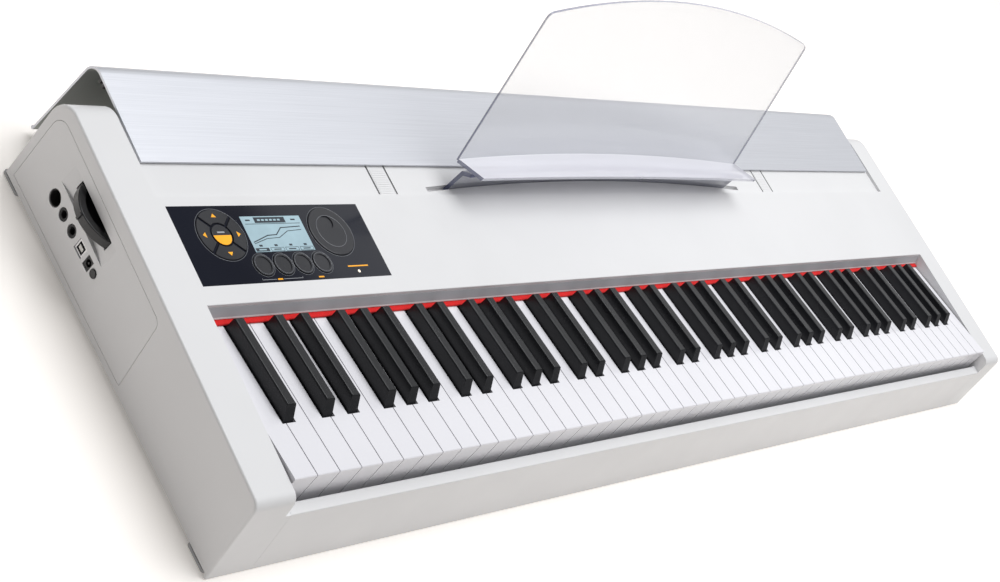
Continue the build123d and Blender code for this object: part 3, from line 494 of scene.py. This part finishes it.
def bracket_marks():
    """Brackets printed under pairs of soft buttons, and short orange bars in place of words."""
    place = panel_matrix("soft_button_1_press", FASCIA_TOP, 10.9, -13.4)
    marks = stroke([(-19, 1.2), (-19, 0), (-4, 0)], 0.35) + stroke([(4, 0), (25, 0), (25, 1.2)], 0.35)
    add_piece("panel_brackets", prism(marks, 0, INK, place), SILVER_PRINT, "case")
    bars = [rectangle(0, 0, 5.4, 1.3), rectangle(46, 0, 6, 1.3), rectangle(94, 8.5, 24, 1.2)]
    add_piece("panel_bars", prism(bars, 0, INK, place), ORANGE_PAINTED_GLOW, "case")


# ---------------------------------------------------------------- sockets
SOCKET_TURN = Matrix(((0, 0, -1), (1, 0, 0), (0, 1, 0))).to_4x4()    # z points out of the left end
MIDI_CONTACTS, MIDI_CONTACT_R, MIDI_CIRCLE_R = 5, 0.62, 4.4
MIDI_DEPTH, DC_DEPTH = 8.5, 1.2
JACK_INSET = 6.9                # mm from the end of the pair of jacks to the middle of one
TONGUE_HALF_W, TONGUE_HALF_H, TONGUE_CUT = 2.7, 1.6, 0.4


def socket_matrix(node, depth, right=0.0, up=0.0):
    """Frame on the middle of a socket's mouth, at a depth in mm; offsets in mm."""
    low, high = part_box(node)
    middle = (low + high) / 2
    return Matrix.Translation((low.x + depth * MM, middle.y + right * MM, middle.z + up * MM)) @ SOCKET_TURN


def pins():
    """Metal contacts and tongues seen inside the sockets."""
    contact = [polygon(MIDI_CONTACT_R, 16)]
    for i in range(MIDI_CONTACTS):
        angle = pi * i / (MIDI_CONTACTS - 1)
        right, up = MIDI_CIRCLE_R * cos(angle), MIDI_CIRCLE_R * sin(angle)
        place = socket_matrix("midi_socket", MIDI_DEPTH, right, up)
        add_piece(f"midi_contact_{i + 1}", prism(contact, 0, 0.6, place), PLATED, "case")
    low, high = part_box("jack_sockets")
    jack_offset = (high.y - low.y) / (2 * MM) - JACK_INSET
    for i, right in enumerate((-jack_offset, jack_offset)):
        collar = ring(4.3, 1.6, 0.35, socket_matrix("jack_sockets", 0.0, right))
        add_piece(f"jack_collar_{i + 1}", collar, SOCKET_BLACK, "case")
    pin = prism([polygon(0.95, 24)], -0.4, 0.6, socket_matrix("dc_inlet", DC_DEPTH))
    add_piece("dc_pin", pin, PLATED, "case")
    w, h, cut = TONGUE_HALF_W, TONGUE_HALF_H, TONGUE_CUT
    tongue = [[(cut - w, -h), (w - cut, -h), (w, cut - h), (w, h - cut),
               (w - cut, h), (cut - w, h), (-w, h - cut), (-w, cut - h)]]
    add_piece("usb_tongue", prism(tongue, 0.0, 0.15, socket_matrix("usb_socket", 0.0)), TONGUE, "case")


# ---------------------------------------------------------------- rear of the top
GUIDES = {"left": -328.5, "right": 339.5}     # middle of each guide from the middle of the stand, mm
RECESS_DEPTH = 3.4
RIB_COUNT, RIB_PITCH, RIB_FIRST = 11, 2.4, -16.0
RIB_LENGTH, RIB_WIDTH, RIB_HEIGHT = 18.6, 1.2, 0.25
WEB_COUNT, WEB_PITCH, WEB_FIRST, WEB_HALF = 7, 70.0, -210.0, 1.0
BOW_RADIUS = 3000.0


def stand_point(right=0.0, back=0.0, up=0.0):
    """Point at an offset in mm from the slot of the music stand."""
    return Vector(JOINTS["stand_lift"]["pos_m"]) + MM * (RIGHT * right + PANEL_BACK * back + PANEL_UP * up)


def guide_ribs():
    """Ribbed tongues between the two slots of each cover guide."""
    ribs = [rectangle(0, RIB_FIRST + RIB_PITCH * i, RIB_LENGTH, RIB_WIDTH) for i in range(RIB_COUNT)]
    for name, right in GUIDES.items():
        place = Matrix.Translation(stand_point(right, up=-RECESS_DEPTH)) @ panel_turn()
        add_piece(f"guide_ribs_{name}", prism(ribs, 0, RIB_HEIGHT, place), WHITE_SHELL, "case")


def stand_gussets():
    """Moulded webs under the ledge of the music stand."""
    turn = Matrix((PANEL_BACK, PANEL_UP, RIGHT)).transposed().to_4x4()
    web = [[(-2.2, 12), (-2.2, 22), (-9, 27.5), (-15.5, 30.2), (-10, 24)]]
    for i in range(WEB_COUNT):
        right = WEB_FIRST + WEB_PITCH * i
        sag = right * right / (2 * BOW_RADIUS)
        place = Matrix.Translation(stand_point(right, -sag)) @ turn
        # the webs under the ledge take the acrylic with painted shade
        add_piece(f"ledge_web_{i + 1}", prism(web, -WEB_HALF, WEB_HALF, place), SHADED_CLEAR, "music_stand")


add_camera()
add_light()
add_floor()
dress_cad()
lcd_graphics()
pad_marks()
rims()
bracket_marks()
pins()
guide_ribs()
stand_gussets()
